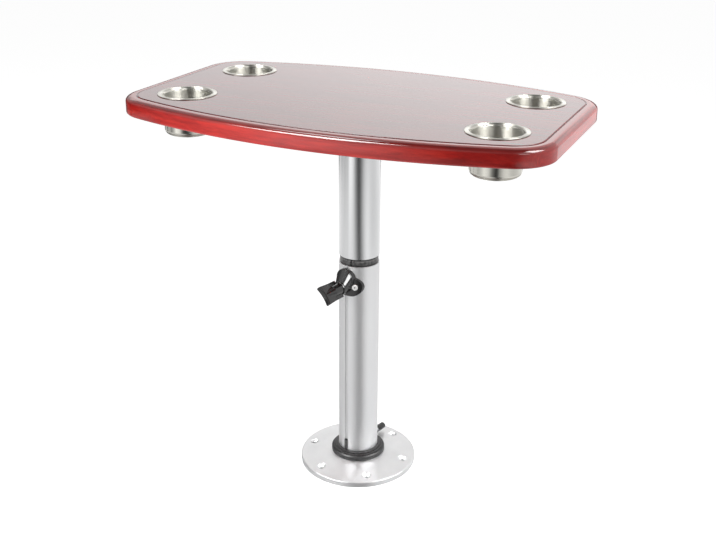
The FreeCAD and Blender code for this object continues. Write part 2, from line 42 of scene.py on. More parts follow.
camera_yaw = 0.41473
camera_pitch = -0.36543
camera_roll = 0.01173
image_width, image_height = 716, 540
focal_pixels = 1065.316
centre_pixel = (374.565, 238.244)
sensor_width = 36.0

forward = Vector((-math.sin(camera_yaw) * math.cos(camera_pitch),
                  math.cos(camera_yaw) * math.cos(camera_pitch), math.sin(camera_pitch)))
level_right = Vector((math.cos(camera_yaw), math.sin(camera_yaw), 0))
level_up = level_right.cross(forward)
right = level_right * math.cos(camera_roll) + level_up * math.sin(camera_roll)
up = level_up * math.cos(camera_roll) - level_right * math.sin(camera_roll)
camera_data = bpy.data.cameras.new("camera")
camera_data.sensor_width = sensor_width
camera_data.lens = focal_pixels * sensor_width / image_width
camera_data.shift_x = (image_width / 2 - centre_pixel[0]) / image_width
camera_data.shift_y = (centre_pixel[1] - image_height / 2) / image_width
camera = bpy.data.objects.new("camera", camera_data)
turn = Matrix((right, up, -forward)).transposed().to_4x4()
camera.matrix_world = Matrix.Translation(camera_place) @ turn
bpy.context.scene.collection.objects.link(camera)
bpy.context.scene.camera = camera

# Base plate: a cast aluminium disc that is turned on its upper side into a low cone with a thick rim.
# Six countersunk holes take the screws into the floor.
base_radius = 0.089
base_rim_height = 0.0083
base_rim_round = 0.0016
base_hub_height = 0.015
base_hub_radius = 0.041
base_socket_radius = 0.0303
base_socket_floor = 0.007
base_relief = 0.002
base_relief_rings = (0.0405, 0.0495, 0.0655)
base_hole_count = 6
base_hole_circle = 0.074
base_hole_radius = 0.0032
base_countersink_radius = 0.007
base_countersink_depth = 0.0036
base_first_hole = math.radians(-55)
base_drill_overrun = 0.002
base_edge_break = 0.0004
cast_colour = (0.80, 0.802, 0.806, 1)
cast_cloud_colour = (0.75, 0.753, 0.758, 1)


def add_node(tree, kind, inputs=None, **settings):
    """One shader node, with settings, and with inputs that are values or other nodes' outputs."""
    made = tree.nodes.new(kind)
    for name, value in settings.items():
        setattr(made, name, value)
    for name, value in (inputs or {}).items():
        if isinstance(value, bpy.types.NodeSocket):
            tree.links.new(value, made.inputs[name])
        else:
            made.inputs[name].default_value = value
    return made


def add_ramp(tree, factor, stops):
    """A colour ramp from a value, as a list of (place, colour)."""
    made = tree.nodes.new("ShaderNodeValToRGB")
    tree.links.new(factor, made.inputs["Fac"])
    steps = made.color_ramp.elements
    while len(steps) < len(stops):
        steps.new(0.5)
    for step, (place, colour) in zip(steps, stops):
        step.position = place
        step.color = colour if len(colour) == 4 else (*colour, 1)
    return made.outputs["Color"]


def new_finish(name, **values):
    """A finish with the shader's own sockets set. Returns the material, its tree and its shader."""
    finish = bpy.data.materials.new(name)
    finish.use_nodes = True
    shader = finish.node_tree.nodes["Principled BSDF"]
    for socket, value in values.items():
        shader.inputs[socket.replace("_", " ")].default_value = value
    return finish, finish.node_tree, shader


def place_of(tree):
    """The point on the piece, in metres."""
    return add_node(tree, "ShaderNodeTexCoord").outputs["Object"]


def stretched(tree, scale):
    """The point on the piece, scaled along each axis."""
    made = add_node(tree, "ShaderNodeVectorMath", {0: place_of(tree), 1: scale}, operation="MULTIPLY")
    return made.outputs[0]


def radius_of(tree):
    """Distance from the piece's own upright axis."""
    flat = stretched(tree, (1, 1, 0))
    return add_node(tree, "ShaderNodeVectorMath", {0: flat}, operation="LENGTH").outputs["Value"]


def noise_at(tree, point, scale=1.0, detail=2.0):
    """Cloudy noise at a point, as a value from 0 to 1."""
    return add_node(tree, "ShaderNodeTexNoise", {"Vector": point, "Scale": scale,
                                                 "Detail": detail}).outputs["Fac"]


def rings_at(tree, radius, scale):
    """Noise that changes with the radius alone, as a lathe tool leaves it."""
    return add_node(tree, "ShaderNodeTexNoise", {"W": radius, "Scale": scale},
                    noise_dimensions="1D").outputs["Fac"]


def ranged(tree, value, low, high, start=0.0, end=1.0):
    """A value between start and end, carried to the range from low to high."""
    return add_node(tree, "ShaderNodeMapRange", {"Value": value, "From Min": start, "From Max": end,
                                                 "To Min": low, "To Max": high}).outputs["Result"]


def press_in(tree, shader, height, depth, under=None):
    """Bump on the shader, with the relief's depth in metres."""
    inputs = {"Height": height, "Distance": depth, "Strength": 1.0}
    if under:
        inputs["Normal"] = under
    made = add_node(tree, "ShaderNodeBump", inputs)
    tree.links.new(made.outputs["Normal"], shader.inputs["Normal"])
    return made.outputs["Normal"]


def mixed(tree, factor, first, second, blend="MIX"):
    """One colour over another. Each is a colour or an output."""
    # The node's colour sockets are inputs 6 and 7 and output 2.
    made = add_node(tree, "ShaderNodeMix", data_type="RGBA", blend_type=blend)
    for place, value in ((0, factor), (6, first), (7, second)):
        if isinstance(value, bpy.types.NodeSocket):
            tree.links.new(value, made.inputs[place])
        else:
            made.inputs[place].default_value = value
    return made.outputs[2]


def turned_mesh(name, outline, count=144):
    """A closed mesh from an outline of (radius, level) points, turned about the upright axis."""
    work = bmesh.new()
    rows = []
    for radius, level in outline:
        if radius <= 0:
            rows.append([work.verts.new((0, 0, level))] * count)
        else:
            rows.append([work.verts.new((radius * math.cos(math.tau * index / count),
                                         radius * math.sin(math.tau * index / count), level))
                         for index in range(count)])
    closed = outline[0][0] > 0 or outline[-1][0] > 0
    pairs = list(zip(rows, rows[1:] + rows[:1] if closed else rows[1:]))
    for row, following in pairs:
        for index in range(count):
            after = (index + 1) % count
            corners = [row[index], row[after], following[after], following[index]]
            corners = [corner for place, corner in enumerate(corners) if corner not in corners[:place]]
            if len(corners) > 2:
                work.faces.new(corners)
    bmesh.ops.recalc_face_normals(work, faces=work.faces)
    mesh = bpy.data.meshes.new(name)
    work.to_mesh(mesh)
    work.free()
    return mesh


def rounded(start, end, centre, steps=6):
    """Points on the arc from one (radius, level) point to another about a centre.

    It takes the shorter way round. A half turn runs clockwise.
    """
    first = math.atan2(start[1] - centre[1], start[0] - centre[0])
    last = math.atan2(end[1] - centre[1], end[0] - centre[0])
    size = math.hypot(start[0] - centre[0], start[1] - centre[1])
    sweep = (last - first + math.pi) % math.tau - math.pi
    return [(centre[0] + size * math.cos(first + sweep * step / steps),
             centre[1] + size * math.sin(first + sweep * step / steps)) for step in range(steps + 1)]


def put_in_scene(name, mesh, finish, place=(0, 0, 0)):
    """A new object in the scene, with its mesh and finish."""
    piece = bpy.data.objects.new(name, mesh)
    piece.location = place
    bpy.context.scene.collection.objects.link(piece)
    if finish:
        mesh.materials.append(finish)
    return piece


def soften(piece, width=0.0, angle=30):
    """Smooth shading, and where a width is given, small bevels on edges sharper than the angle."""
    for polygon in piece.data.polygons:
        polygon.use_smooth = len(polygon.vertices) > 3 or abs(polygon.normal.z) < 0.99
    if width:
        edge = piece.modifiers.new("bevel", "BEVEL")
        edge.width = width
        edge.segments = 2
        edge.limit_method = "ANGLE"
        edge.angle_limit = math.radians(angle)
    weighted = piece.modifiers.new("weighted", "WEIGHTED_NORMAL")
    weighted.keep_sharp = True


def stands_for(piece, body, slot, *replaced):
    """The piece rides on its body and replaces its CAD nodes, which are hidden. The slot is not used."""
    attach(piece, body)
    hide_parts(*replaced)


def settled(piece):
    """Apply the piece's modifiers to its mesh."""
    bpy.context.view_layer.update()
    shape = bpy.data.meshes.new_from_object(piece.evaluated_get(bpy.context.evaluated_depsgraph_get()))
    piece.modifiers.clear()
    piece.data = shape


def cut_away(piece, cutter):
    """Take the cutter's shape out of the piece, then remove the cutter."""
    cut = piece.modifiers.new("cut", "BOOLEAN")
    cut.operation = "DIFFERENCE"
    cut.solver = "EXACT"
    cut.object = cutter
    settled(piece)
    bpy.data.objects.remove(cutter)


turned_cast, tree, shader = new_finish("turned_cast_aluminium", Metallic=0.75, Roughness=0.42,
                                       Anisotropic=0.35, Anisotropic_Rotation=0.25)
turning = add_node(tree, "ShaderNodeTangent", direction_type="RADIAL", axis="Z")
tree.links.new(turning.outputs["Tangent"], shader.inputs["Tangent"])
lathe_lines = rings_at(tree, radius_of(tree), scale=1400)
cast_grain = noise_at(tree, place_of(tree), scale=900, detail=3)
cloud = noise_at(tree, place_of(tree), scale=30, detail=3)
tint = mixed(tree, ranged(tree, cloud, 0, 1, start=0.35, end=0.65), cast_colour, cast_cloud_colour)
tree.links.new(tint, shader.inputs["Base Color"])
tree.links.new(ranged(tree, cast_grain, 0.36, 0.48), shader.inputs["Roughness"])
under = press_in(tree, shader, cast_grain, depth=0.00002)
press_in(tree, shader, lathe_lines, depth=0.000012, under=under)

rim_corner = (base_radius, base_rim_height - base_rim_round)
rim_slope = (base_hub_height - base_rim_height) / (base_radius - base_hub_radius)
rim_inner = (base_radius - base_rim_round, base_rim_height + rim_slope * base_rim_round)
base_outline = [(0, base_relief), (base_relief_rings[0], base_relief), (base_relief_rings[0], 0),
                (base_relief_rings[1], 0), (base_relief_rings[1], base_relief),
                (base_relief_rings[2], base_relief), (base_relief_rings[2], 0), (base_radius, 0)]
base_outline += rounded(rim_corner, rim_inner, (rim_inner[0], rim_corner[1]), steps=5)
base_outline += [(base_hub_radius, base_hub_height), (base_socket_radius, base_hub_height),
                 (base_socket_radius, base_socket_floor), (0, base_socket_floor)]
base = put_in_scene("base_disc", turned_mesh("base_disc", base_outline), turned_cast)
hole_level = base_rim_height + rim_slope * (base_radius - base_hole_circle)
drill_outline = [(0, -base_drill_overrun), (base_hole_radius, -base_drill_overrun),
                 (base_hole_radius, hole_level - base_countersink_depth),
                 (base_countersink_radius, hole_level),
                 (base_countersink_radius + base_drill_overrun, hole_level + base_drill_overrun),
                 (0, hole_level + base_drill_overrun)]
drill = bpy.data.meshes.new("drill")
drills = bmesh.new()
single = turned_mesh("drill_single", drill_outline, count=32)
for index in range(base_hole_count):
    angle = base_first_hole + math.tau / base_hole_count * index
    hole_place = (base_hole_circle * math.cos(angle), base_hole_circle * math.sin(angle), 0)
    copy = single.copy()
    copy.transform(Matrix.Translation(hole_place))
    drills.from_mesh(copy)
drills.to_mesh(drill)
drills.free()
cut_away(base, put_in_scene("drill", drill, None))
soften(base, base_edge_break, angle=25)
stands_for(base, "base", "cast_aluminium", "base_plate")

# Spigot, its bolt and the collar's screws: a turned aluminium plug that the column slips over,
# with a zinc plated bolt and three screws driven from under the base.
zinc_colour = (0.70, 0.71, 0.72, 1)
zinc_spangle_share = 0.12
zinc, tree, shader = new_finish("zinc_plate", Metallic=1.0, Roughness=0.3)
spangle = add_node(tree, "ShaderNodeTexVoronoi", {"Vector": place_of(tree), "Scale": 900}).outputs["Color"]
tint = mixed(tree, zinc_spangle_share, zinc_colour, spangle, "OVERLAY")
tree.links.new(tint, shader.inputs["Base Color"])
zinc_grain = noise_at(tree, place_of(tree), scale=2500, detail=3)
tree.links.new(ranged(tree, zinc_grain, 0.22, 0.38), shader.inputs["Roughness"])
press_in(tree, shader, zinc_grain, depth=0.00001)


def dress(finish, *names):
    """Give CAD nodes their finish."""
    for name in names:
        part = nodes[name]
        if not part.material_slots:
            part.data.materials.append(finish)
        for holder in part.material_slots:
            holder.material = finish


dress(turned_cast, "base_spigot")
dress(zinc, "spigot_bolt", "collar_screws")

# Collar: a black nylon moulding round the foot of the column, with stepped rings on its slope.
# Its tongue fills the foot of the column's groove, and its boss holds the lock screw.
matt_colour = (0.030, 0.030, 0.031, 1)
matt_dust_colour = (0.052, 0.052, 0.053, 1)
matt_black, tree, shader = new_finish("matt_black_moulding", Roughness=0.5, Specular_IOR_Level=0.5)
spark = noise_at(tree, place_of(tree), scale=2600, detail=3)
dust = noise_at(tree, place_of(tree), scale=140, detail=4)
tint = mixed(tree, ranged(tree, dust, 0, 1, start=0.35, end=0.7), matt_colour, matt_dust_colour)
tree.links.new(tint, shader.inputs["Base Color"])
tree.links.new(ranged(tree, spark, 0.32, 0.46), shader.inputs["Roughness"])
press_in(tree, shader, spark, depth=0.00002)
dress(matt_black, "base_collar")

# Base lock: a zinc plated stud with a small glossy black knob, which turns in the collar's boss
# and bears on the foot of the column.
gloss_colour = (0.008, 0.008, 0.008, 1)
gloss_flow_colour = (0.018, 0.018, 0.018, 1)
glossy_black, tree, shader = new_finish("glossy_black_moulding", Roughness=0.22, Specular_IOR_Level=0.8)
flow = noise_at(tree, place_of(tree), scale=55, detail=4)
skin = noise_at(tree, place_of(tree), scale=700, detail=3)
tint = mixed(tree, ranged(tree, flow, 0, 1, start=0.35, end=0.7), gloss_colour, gloss_flow_colour)
tree.links.new(tint, shader.inputs["Base Color"])
tree.links.new(ranged(tree, skin, 0.08, 0.15), shader.inputs["Roughness"])
press_in(tree, shader, skin, depth=0.000015)
dress(zinc, "lock_screw")
dress(glossy_black, "lock_knob")

# Lower tube: an extruded aluminium tube with a lengthwise groove, bead blasted and clear anodised.
# It stands on the spigot and carries the clamp.
column_radius = 0.030
column_wall = 0.003
lower_tube_ends = (0.007, 0.3332)
tube_edge_break = 0.0003
groove_radius = 0.003
groove_depth = 0.0016
groove_reach = column_radius + groove_radius - groove_depth
groove_angle = math.radians(-103)
groove_steps = 12
groove_blur = (0.0002, 0.0003)
anodised_colour = (0.83, 0.835, 0.84, 1)
anodised_cloud_colour = (0.79, 0.795, 0.805, 1)
# Painted shade for the inside of the groove.
tube_groove_painted_shade = (0.70, 0.703, 0.71, 1)
tube_groove_shade_share = 0.9


def tube_mesh(name, ends, groove=False, count=180):
    """A tube between two levels, with the groove down its outside, or a narrow flat in its place."""
    half = math.acos((groove_reach ** 2 + column_radius ** 2 - groove_radius ** 2)
                     / (2 * groove_reach * column_radius))
    steps = [groove_angle + half + (math.tau - 2 * half) * index / count for index in range(count + 1)]
    ring = [(column_radius * math.cos(angle), column_radius * math.sin(angle)) for angle in steps]
    if groove:
        sweep = math.acos((groove_reach ** 2 + groove_radius ** 2 - column_radius ** 2)
                          / (2 * groove_reach * groove_radius))
        for index in range(1, groove_steps):
            angle = groove_angle + math.pi + sweep - 2 * sweep * index / groove_steps
            ring.append((groove_reach * math.cos(groove_angle) + groove_radius * math.cos(angle),
                         groove_reach * math.sin(groove_angle) + groove_radius * math.sin(angle)))
    bore = column_radius - column_wall
    bearings = [math.atan2(y, x) for x, y in ring]
    work = bmesh.new()
    loops = []
    for level in ends:
        outside = [work.verts.new((x, y, level)) for x, y in ring]
        inside = [work.verts.new((bore * math.cos(angle), bore * math.sin(angle), level))
                  for angle in bearings]
        loops.append((outside, inside))
    (low_out, low_in), (high_out, high_in) = loops
    for index in range(len(ring)):
        after = (index + 1) % len(ring)
        work.faces.new((low_out[index], low_out[after], high_out[after], high_out[index]))
        work.faces.new((low_in[after], low_in[index], high_in[index], high_in[after]))
        work.faces.new((high_out[index], high_out[after], high_in[after], high_in[index]))
        work.faces.new((low_out[after], low_out[index], low_in[index], low_in[after]))
    bmesh.ops.remove_doubles(work, verts=work.verts, dist=0.000001)
    bmesh.ops.recalc_face_normals(work, faces=work.faces)
    mesh = bpy.data.meshes.new(name)
    work.to_mesh(mesh)
    work.free()
    return mesh


def anodised(name, roughness, spread, metal=1.0, grooved=False):
    """Clear anodised extrusion with faint die lines and a fine even grain, and painted shade darkening the
    groove.
    """
    finish, tree, shader = new_finish(name, Metallic=metal, Roughness=roughness)
    die_lines = noise_at(tree, stretched(tree, (900, 900, 3)), detail=4)
    grain = noise_at(tree, place_of(tree), scale=3200)
    cloud = noise_at(tree, stretched(tree, (30, 30, 6)), detail=3)
    tint = mixed(tree, ranged(tree, cloud, 0, 1, start=0.3, end=0.7), anodised_colour, anodised_cloud_colour)
    # Painted shade: the colour darkens inside the groove.
    if grooved:
        middle = (groove_reach * math.cos(groove_angle), groove_reach * math.sin(groove_angle), 0)
        flat = stretched(tree, (1, 1, 0))
        away = add_node(tree, "ShaderNodeVectorMath", {0: flat, 1: middle}, operation="DISTANCE")
        in_groove = ranged(tree, away.outputs["Value"], tube_groove_shade_share, 0,
                           start=groove_radius - groove_blur[0], end=groove_radius + groove_blur[1])
        tint = mixed(tree, in_groove, tint, tube_groove_painted_shade)
    tree.links.new(tint, shader.inputs["Base Color"])
    dullness = ranged(tree, die_lines, roughness - spread, roughness + spread)
    tree.links.new(dullness, shader.inputs["Roughness"])
    under = press_in(tree, shader, grain, depth=0.000006)
    press_in(tree, shader, die_lines, depth=0.000008, under=under)
    return finish


blasted_tube = anodised("anodised_blasted", roughness=0.40, spread=0.05, metal=0.8, grooved=True)
lower_mesh = tube_mesh("lower_tube_extrusion", lower_tube_ends, groove=True)
lower_tube = put_in_scene("lower_tube_extrusion", lower_mesh, blasted_tube)
soften(lower_tube, tube_edge_break, angle=40)
stands_for(lower_tube, "lower_column", "anodised", "lower_tube")

# Clamp housing: a glossy black moulding, saddled on the tube and held by two bright rivets.
# Its boss takes the plunger, and its crown slopes down to the boss.
clamp_level = 0.3032
rivet_bearings = (math.radians(-76), math.radians(-130))
rivet_recess_radius = 0.0011
rivet_recess_shares = (0.8, 1.1)
rivet_colour = (0.93, 0.93, 0.92, 1)
rivet_peen_colour = (0.97, 0.97, 0.96, 1)
# Painted shade in the middle of each rivet, where its recess is.
rivet_hole_painted_shade = (0.1, 0.1, 0.1, 1)

bright_rivet, tree, shader = new_finish("bright_rivet", Metallic=0.5, Roughness=0.3)
peen = noise_at(tree, place_of(tree), scale=1500)
tint = mixed(tree, peen, rivet_colour, rivet_peen_colour)
from_clamp = add_node(tree, "ShaderNodeVectorMath", {0: place_of(tree), 1: (0, 0, clamp_level)},
                      operation="SUBTRACT").outputs[0]
# Each rivet's middle is painted dark, as shade in its recess.
recess_edge = [rivet_recess_radius * share for share in rivet_recess_shares]
for angle in rivet_bearings:
    rivet_axis = (math.cos(angle), math.sin(angle), 0)
    off_axis = add_node(tree, "ShaderNodeVectorMath", {0: from_clamp, 1: rivet_axis},
                        operation="CROSS_PRODUCT").outputs[0]
    distance = add_node(tree, "ShaderNodeVectorMath", {0: off_axis}, operation="LENGTH").outputs["Value"]
    tint = mixed(tree, ranged(tree, distance, 1, 0, *recess_edge), tint, rivet_hole_painted_shade)
tree.links.new(tint, shader.inputs["Base Color"])
press_in(tree, shader, peen, depth=0.00002)
dress(glossy_black, "clamp_housing")
dress(bright_rivet, "clamp_rivets")

# Guide bush: a split black nylon ring in the tube's mouth, which the upper tube stands on and turns with.
# Its sleeve reaches down inside the tube.
bush_levels = (0.3332, 0.3447)
# Painted shade and highlight: greys by height, dark at the edges and lighter across the middle.
bush_painted_light_greys = ((0.0, 0.015), (0.12, 0.02), (0.24, 0.08), (0.55, 0.10),
              (0.66, 0.19), (0.78, 0.09), (0.88, 0.012), (1.0, 0.01))
bush_worn_colour = (0.02, 0.02, 0.02, 1)


def level_of(tree):
    """Height of the point on the piece."""
    return add_node(tree, "ShaderNodeSeparateXYZ", {"Vector": place_of(tree)}).outputs["Z"]


bush_finish, tree, shader = new_finish("black_moulding_painted_light", Roughness=0.3)
# Painted light: bands of grey by height stand in for shade at the ring's edges and a highlight across it.
rings = add_ramp(tree, ranged(tree, level_of(tree), 0, 1, *bush_levels),
                 [(place, (grey,) * 3) for place, grey in bush_painted_light_greys])
worn = noise_at(tree, place_of(tree), scale=260, detail=3)
tint = mixed(tree, ranged(tree, worn, 0, 0.8, start=0.42, end=0.62), rings, bush_worn_colour)
tree.links.new(tint, shader.inputs["Base Color"])
press_in(tree, shader, worn, depth=0.00003)
dress(bush_finish, "guide_bush")

# Clamp screw: a black wing knob on a brass insert drives a steel plunger,
# and a nylon shoe at its end presses on the inner tube.
brass_colour = (0.80, 0.58, 0.24, 1)
brass_tarnish_colour = (0.62, 0.43, 0.17, 1)
nylon_colour = (0.80, 0.78, 0.71, 1)
nylon_haze_colour = (0.88, 0.87, 0.81, 1)

brass, tree, shader = new_finish("turned_brass", Metallic=1.0, Roughness=0.3)
tarnish = noise_at(tree, place_of(tree), scale=400, detail=4)
tree.links.new(mixed(tree, tarnish, brass_colour, brass_tarnish_colour), shader.inputs["Base Color"])
press_in(tree, shader, tarnish, depth=0.00001)

nylon, tree, shader = new_finish("natural_nylon", Roughness=0.45,
                                 Subsurface_Weight=0.15, Subsurface_Scale=0.002)
haze = noise_at(tree, place_of(tree), scale=90, detail=3)
tree.links.new(mixed(tree, haze, nylon_colour, nylon_haze_colour), shader.inputs["Base Color"])
press_in(tree, shader, noise_at(tree, place_of(tree), scale=1500), depth=0.00002)

dress(glossy_black, "clamp_knob")
dress(brass, "knob_insert")
dress(zinc, "clamp_plunger")
dress(nylon, "pressure_pad")

# Inner tube and its end: the thinner tube that telescopes into the lower one,
# with a nylon glide pinned in its end and two nylon rings that centre it in the upper tube.
satin_tube = anodised("anodised_satin", roughness=0.2, spread=0.04)
dress(satin_tube, "inner_tube")
dress(nylon, "end_glide", "lower_spacer", "upper_spacer")
dress(zinc, "glide_pin")

# Upper tube: a plain satin anodised sleeve of the same diameter as the lower tube.
# It stands on the bush and fits in the plate's socket.
upper_tube_ends = (0.3447, 0.5457)
upper_mesh = tube_mesh("upper_tube_extrusion", upper_tube_ends)
upper_tube = put_in_scene("upper_tube_extrusion", upper_mesh, satin_tube)
soften(upper_tube, tube_edge_break, angle=40)
stands_for(upper_tube, "upper_column", "anodised", "upper_tube")

# Top plate: a sand cast aluminium plate with a ribbed socket, screwed under the top with six screws.
# Three set screws hold the column in the socket.
sand_cast_colour = (0.66, 0.665, 0.67, 1)
sand_cast_cloud_colour = (0.76, 0.765, 0.77, 1)
sand_cast, tree, shader = new_finish("sand_cast_aluminium", Metallic=1.0, Roughness=0.5)
sand = noise_at(tree, place_of(tree), scale=1100, detail=4)
cloud = noise_at(tree, place_of(tree), scale=45, detail=4)
tree.links.new(mixed(tree, cloud, sand_cast_colour, sand_cast_cloud_colour), shader.inputs["Base Color"])
tree.links.new(ranged(tree, sand, 0.42, 0.6), shader.inputs["Roughness"])
press_in(tree, shader, sand, depth=0.00008)
dress(sand_cast, "top_plate")
dress(zinc, "socket_screws", "plate_screws")

# Table top: a board with bowed long sides and round corners, faced in red mahogany, thickly lacquered.
# A fine V groove divides its flat field from the rim, which rounds off to the edge.
# Four holes take the cups.
top_half_length = 0.3085
top_half_width = 0.197
top_half_end = 0.142
top_corner = 0.060
top_levels = {"bottom": 0.5517, "rim": 0.5752, "field": 0.5765}
top_lower_round = 0.003
# Of each pair down to the groove floor, the first is a width inward from the edge, the second a height.
top_shoulder = (0.0103, 0.0070)
top_shoulder_steps = 14
top_lip = 0.0148
top_lip_drop = 0.0006
top_lip_chamfer = (0.0003, 0.0002)
top_groove = (0.0165, 0.0016)
top_groove_floor = (0.0003, 0.0001)
top_groove_wall = 0.0005
top_step_round = 0.0006
cup_hole_radius = 0.0348
cup_hole_steps = 64
cup_place = (0.2268, 0.0861)
ribbon_colours = [(0.30, (0.28, 0.011, 0.010)), (0.50, (0.41, 0.017, 0.014)), (0.70, (0.53, 0.028, 0.019))]
flame_colour = (0.19, 0.008, 0.008, 1)
fibre_colour = (0.56, 0.040, 0.026, 1)
pore_colour = (0.09, 0.005, 0.005, 1)
# Painted light for the lip, and painted shade for the groove's walls.
lip_painted_light = (0.80, 0.05, 0.04, 1)
lip_painted_light_depth = 0.0014
top_groove_painted_shade = (0.30, 0.015, 0.014, 1)
top_groove_shade_depth = 0.0002
field_paint_gap = (0.0002, 0.0001)
paint_blur = 0.0002
lacquer_ripple = 0.00002


def top_loop(inset, side_steps=56, corner_steps=14, end_steps=10):
    """The top's outline drawn in by the inset, as (x, y) points, anticlockwise from the right end."""
    bow = top_half_width - top_half_end
    bow_radius = (top_half_length ** 2 + bow ** 2) / (2 * bow)
    bow_centre = top_half_width - bow_radius
    side = bow_radius - inset
    corner = top_corner - inset
    corner_x = top_half_length - top_corner
    corner_rise = math.sqrt((side - corner) ** 2 - corner_x ** 2)
    corner_y = bow_centre + corner_rise
    turn = math.atan2(corner_rise, corner_x)
    quarter = [(top_half_length - inset, corner_y * step / (end_steps / 2))
               for step in range(end_steps // 2)]
    quarter += [(corner_x + corner * math.cos(turn * step / corner_steps),
                 corner_y + corner * math.sin(turn * step / corner_steps)) for step in range(corner_steps)]
    half = side_steps // 2
    quarter += [(side * math.cos(turn + (math.pi / 2 - turn) * step / half),
                 bow_centre + side * math.sin(turn + (math.pi / 2 - turn) * step / half))
                for step in range(half)]
    upper = quarter + [(0, bow_centre + side)] + [(-x, y) for x, y in reversed(quarter[1:])]
    return upper + [(-x, -y) for x, y in upper]


def top_mesh(name):
    """The board: its edge profile swept round the outline, and faces that leave the cup holes open."""
    bottom, rim, field = (top_levels[key] for key in ("bottom", "rim", "field"))
    middle = (bottom + rim) / 2
    crest = field - top_lip_drop
    groove_inset, groove_level = top_groove[0], field - top_groove[1]
    field_start = groove_inset + top_groove_wall
    profile = rounded((top_lower_round, bottom), (0, bottom + top_lower_round),
                      (top_lower_round, bottom + top_lower_round), steps=5)
    profile += [(0, middle)]
    for step in range(top_shoulder_steps + 1):
        turn = math.pi / 2 * step / top_shoulder_steps
        profile.append((top_shoulder[0] * (1 - math.cos(turn)),
                        crest - top_shoulder[1] * (1 - math.sin(turn))))
    profile += [(top_lip, crest), (top_lip + top_lip_chamfer[0], crest - top_lip_chamfer[1]),
                (groove_inset, groove_level),
                (groove_inset + top_groove_floor[0], groove_level + top_groove_floor[1])]
    profile += rounded((field_start, field - top_step_round), (field_start + top_step_round, field),
                       (field_start + top_step_round, field - top_step_round), steps=4)
    work = bmesh.new()
    rows = [[work.verts.new((x, y, level)) for x, y in top_loop(inset)] for inset, level in profile]
    for row, following in zip(rows, rows[1:]):
        for index in range(len(row)):
            after = (index + 1) % len(row)
            work.faces.new((row[index], row[after], following[after], following[index]))
    turns = [math.tau * step / cup_hole_steps for step in range(cup_hole_steps)]
    for row, level in ((rows[0], bottom), (rows[-1], field)):
        edges = [work.edges.get(pair) for pair in zip(row, row[1:] + row[:1])]
        for side_x, side_y in ((-1, -1), (-1, 1), (1, -1), (1, 1)):
            hole = [work.verts.new((cup_place[0] * side_x + cup_hole_radius * math.cos(turn),
                                    cup_place[1] * side_y + cup_hole_radius * math.sin(turn), level))
                    for turn in turns]
            edges += [work.edges.new(pair) for pair in zip(hole, hole[1:] + hole[:1])]
        bmesh.ops.triangle_fill(work, edges=edges, use_beauty=True)
    open_edges = [edge for edge in work.edges if edge.is_boundary]
    lower_edges = [edge for edge in open_edges if edge.verts[0].co.z < middle]
    walls = bmesh.ops.extrude_edge_only(work, edges=lower_edges)
    for vert in [item for item in walls["geom"] if isinstance(item, bmesh.types.BMVert)]:
        vert.co.z = field
    bmesh.ops.remove_doubles(work, verts=work.verts, dist=0.00001)
    bmesh.ops.recalc_face_normals(work, faces=work.faces)
    mesh = bpy.data.meshes.new(name)
    work.to_mesh(mesh)
    work.free()
    return mesh


mahogany, tree, shader = new_finish("lacquered_mahogany", Roughness=0.6, Specular_IOR_Level=0.0,
                                    Coat_Weight=1.0, Coat_Roughness=0.03, Coat_IOR=1.65)
normal = add_node(tree, "ShaderNodeNewGeometry").outputs["Normal"]
facing = add_node(tree, "ShaderNodeSeparateXYZ", {"Vector": normal}).outputs
endways = add_node(tree, "ShaderNodeMath", {0: facing["X"]}, operation="ABSOLUTE").outputs[0]
end_share = ranged(tree, endways, 0, 1, start=0.6, end=0.8)
along = place_of(tree)
across = add_node(tree, "ShaderNodeVectorRotate", {"Vector": along, "Angle": math.pi / 2},
                  rotation_type="Z_AXIS").outputs[0]
board = mixed(tree, end_share, along, across)


def board_noise(scale, detail, roughness=0.55, distortion=0.0):
    """Noise on the board, stretched along its grain."""
    spread = add_node(tree, "ShaderNodeVectorMath", {0: board, 1: scale}, operation="MULTIPLY").outputs[0]
    made = add_node(tree, "ShaderNodeTexNoise", {"Vector": spread, "Scale": 1.0, "Detail": detail,
                                                 "Roughness": roughness, "Distortion": distortion})
    return made.outputs["Fac"]


ribbon = board_noise((7, 26, 60), detail=3, roughness=0.5, distortion=0.6)
flame = board_noise((16, 95, 170), detail=5, roughness=0.6, distortion=0.4)
fibre = board_noise((45, 620, 620), detail=4, roughness=0.6)
pores = board_noise((75, 1700, 1700), detail=2)
colour = add_ramp(tree, ribbon, ribbon_colours)
colour = mixed(tree, ranged(tree, flame, 0, 0.7, start=0.42, end=0.70), colour, flame_colour)
colour = mixed(tree, ranged(tree, fibre, 0, 0.2, start=0.45, end=0.8), colour, fibre_colour)
colour = mixed(tree, ranged(tree, pores, 0, 0.3, start=0.66, end=0.74), colour, pore_colour)
# Painted light on the level lip beside the groove, and painted shade on the groove's walls.
level = level_of(tree)
below_field = ranged(tree, level, 1, 0, *(top_levels["field"] - gap for gap in field_paint_gap))
for depth, first, last, paint in ((lip_painted_light_depth, 0.93, 0.97, lip_painted_light),
                                  (top_groove_shade_depth, 0.93, 0.78, top_groove_painted_shade)):
    lowest = top_levels["rim"] - depth
    share = ranged(tree, level, 0, 1, start=lowest - paint_blur, end=lowest + paint_blur)
    for other in (below_field, ranged(tree, facing["Z"], 0, 1, start=first, end=last)):
        share = add_node(tree, "ShaderNodeMath", {0: share, 1: other}, operation="MULTIPLY").outputs[0]
    colour = mixed(tree, share, colour, paint)
tree.links.new(colour, shader.inputs["Base Color"])
ripple = noise_at(tree, place_of(tree), scale=55)
lacquer = add_node(tree, "ShaderNodeBump", {"Height": ripple, "Distance": lacquer_ripple, "Strength": 1.0})
tree.links.new(lacquer.outputs["Normal"], shader.inputs["Coat Normal"])
press_in(tree, shader, fibre, depth=0.00001)

table_top = put_in_scene("mahogany_top", top_mesh("mahogany_top"), mahogany)
soften(table_top)
stands_for(table_top, "upper_column", "wood", "table_top")

